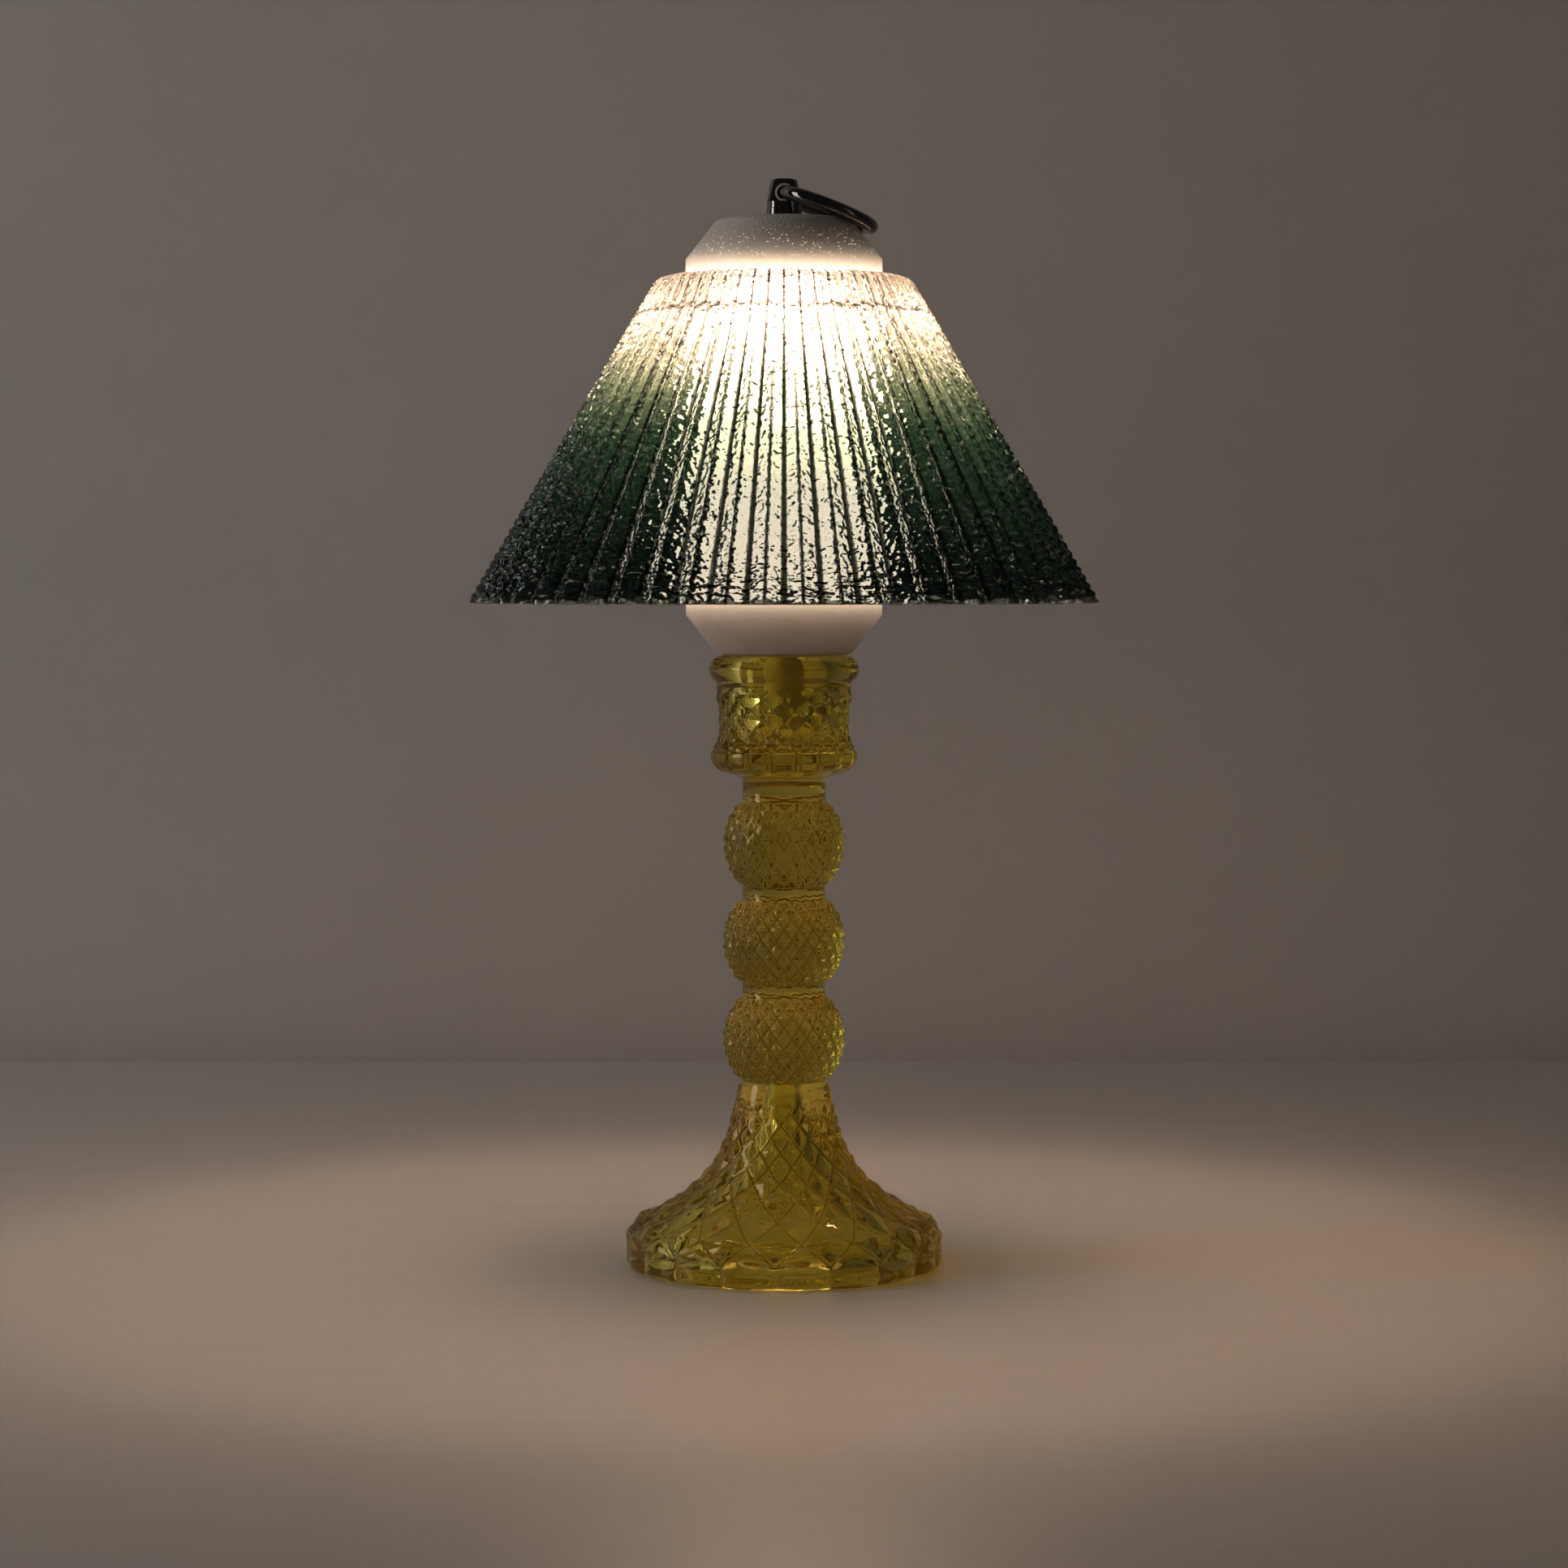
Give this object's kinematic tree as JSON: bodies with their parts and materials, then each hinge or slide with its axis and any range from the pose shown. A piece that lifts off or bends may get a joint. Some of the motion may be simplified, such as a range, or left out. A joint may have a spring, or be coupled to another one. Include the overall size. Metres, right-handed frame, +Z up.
{
  "type": "candlestick table lamp",
  "caption": "Small table lamp: a pressed-glass candlestick holds a battery lantern under a flared pleated shade, with a hanging ring on a swivel post on top.",
  "frame": {"origin": "centre of the candlestick's contact ring, on the table", "axes": "+Z up along the lamp's axis; +X the side the hanging ring lies on; the power button is on +Y"},
  "size_m": [0.1212, 0.1212, 0.2108],
  "materials": {
    "amber_glass": "clear pressed glass, amber yellow",
    "cap_nylon": "translucent white, fine granular surface",
    "diffuser_plastic": "opal white, lit from inside",
    "shade_green": "translucent, clear at the top to dark green at the rim",
    "clear_plastic": "clear moulded plastic",
    "dark_chrome": "polished dark chrome",
    "plated_steel": "zinc plated",
    "spring_steel": "nickel plated wire",
    "aluminium_disc": "turned, satin",
    "battery_jacket": "printed jacket with no marks",
    "holder_plastic": "moulded white",
    "reflector_white": "smooth white",
    "white_board": "white coated circuit board",
    "green_board": "green circuit board",
    "led_chip": "warm white light source",
    "component_black": "moulded black",
    "lead_cover": "red insulation",
    "button_plastic": "frosted"
  },
  "bodies": {
    "candlestick": {"candlestick": "amber_glass"},
    "lantern": {"bottom_cap": "cap_nylon", "peg": "cap_nylon", "peg_nut": "plated_steel", "diffuser": "diffuser_plastic", "top_cap": "cap_nylon", "battery_tube": "holder_plastic", "spring_plate": "plated_steel", "contact_spring": "spring_steel", "battery": "battery_jacket", "positive_contact": "plated_steel", "tube_lid": "holder_plastic", "reflector_cone": "reflector_white", "led_board": "white_board", "leds": "led_chip", "heat_spreader": "aluminium_disc", "board_screws": "plated_steel", "driver_board": "green_board", "driver_parts": "component_black", "power_leads": "lead_cover", "switch_board": "green_board", "tact_switch": "component_black", "hanger_base": "dark_chrome"},
    "shade": {"shade_cone": "shade_green", "shade_collar": "clear_plastic"},
    "hanger_post": {"swivel_post": "dark_chrome", "post_nut": "plated_steel"},
    "hang_ring": {"hang_ring": "dark_chrome"},
    "power_button": {"power_button": "button_plastic", "switch_plunger": "component_black"}
  },
  "joints": [
    {"name": "lantern_lift", "type": "slide", "parent": "candlestick", "child": "lantern", "axis": [0, 0, 1], "range_m": [0, 0.03]},
    {"name": "shade_turn", "type": "hinge", "parent": "lantern", "child": "shade", "pos_m": [0, 0, 0.1914], "axis": [0, 0, 1], "continuous": true},
    {"name": "post_swivel", "type": "hinge", "parent": "lantern", "child": "hanger_post", "pos_m": [0, 0, 0.2052], "axis": [0, 0, 1], "continuous": true},
    {"name": "ring_swing", "type": "hinge", "parent": "hanger_post", "child": "hang_ring", "pos_m": [0, 0, 0.20811], "axis": [0, -1, 0], "range_deg": [0, 220]},
    {"name": "power_press", "type": "slide", "parent": "lantern", "child": "power_button", "axis": [0, -0.7877, 0.616], "range_m": [0, 0.0006], "stiffness_N_per_m": 600, "springref_m": -0.0005}
  ]
}
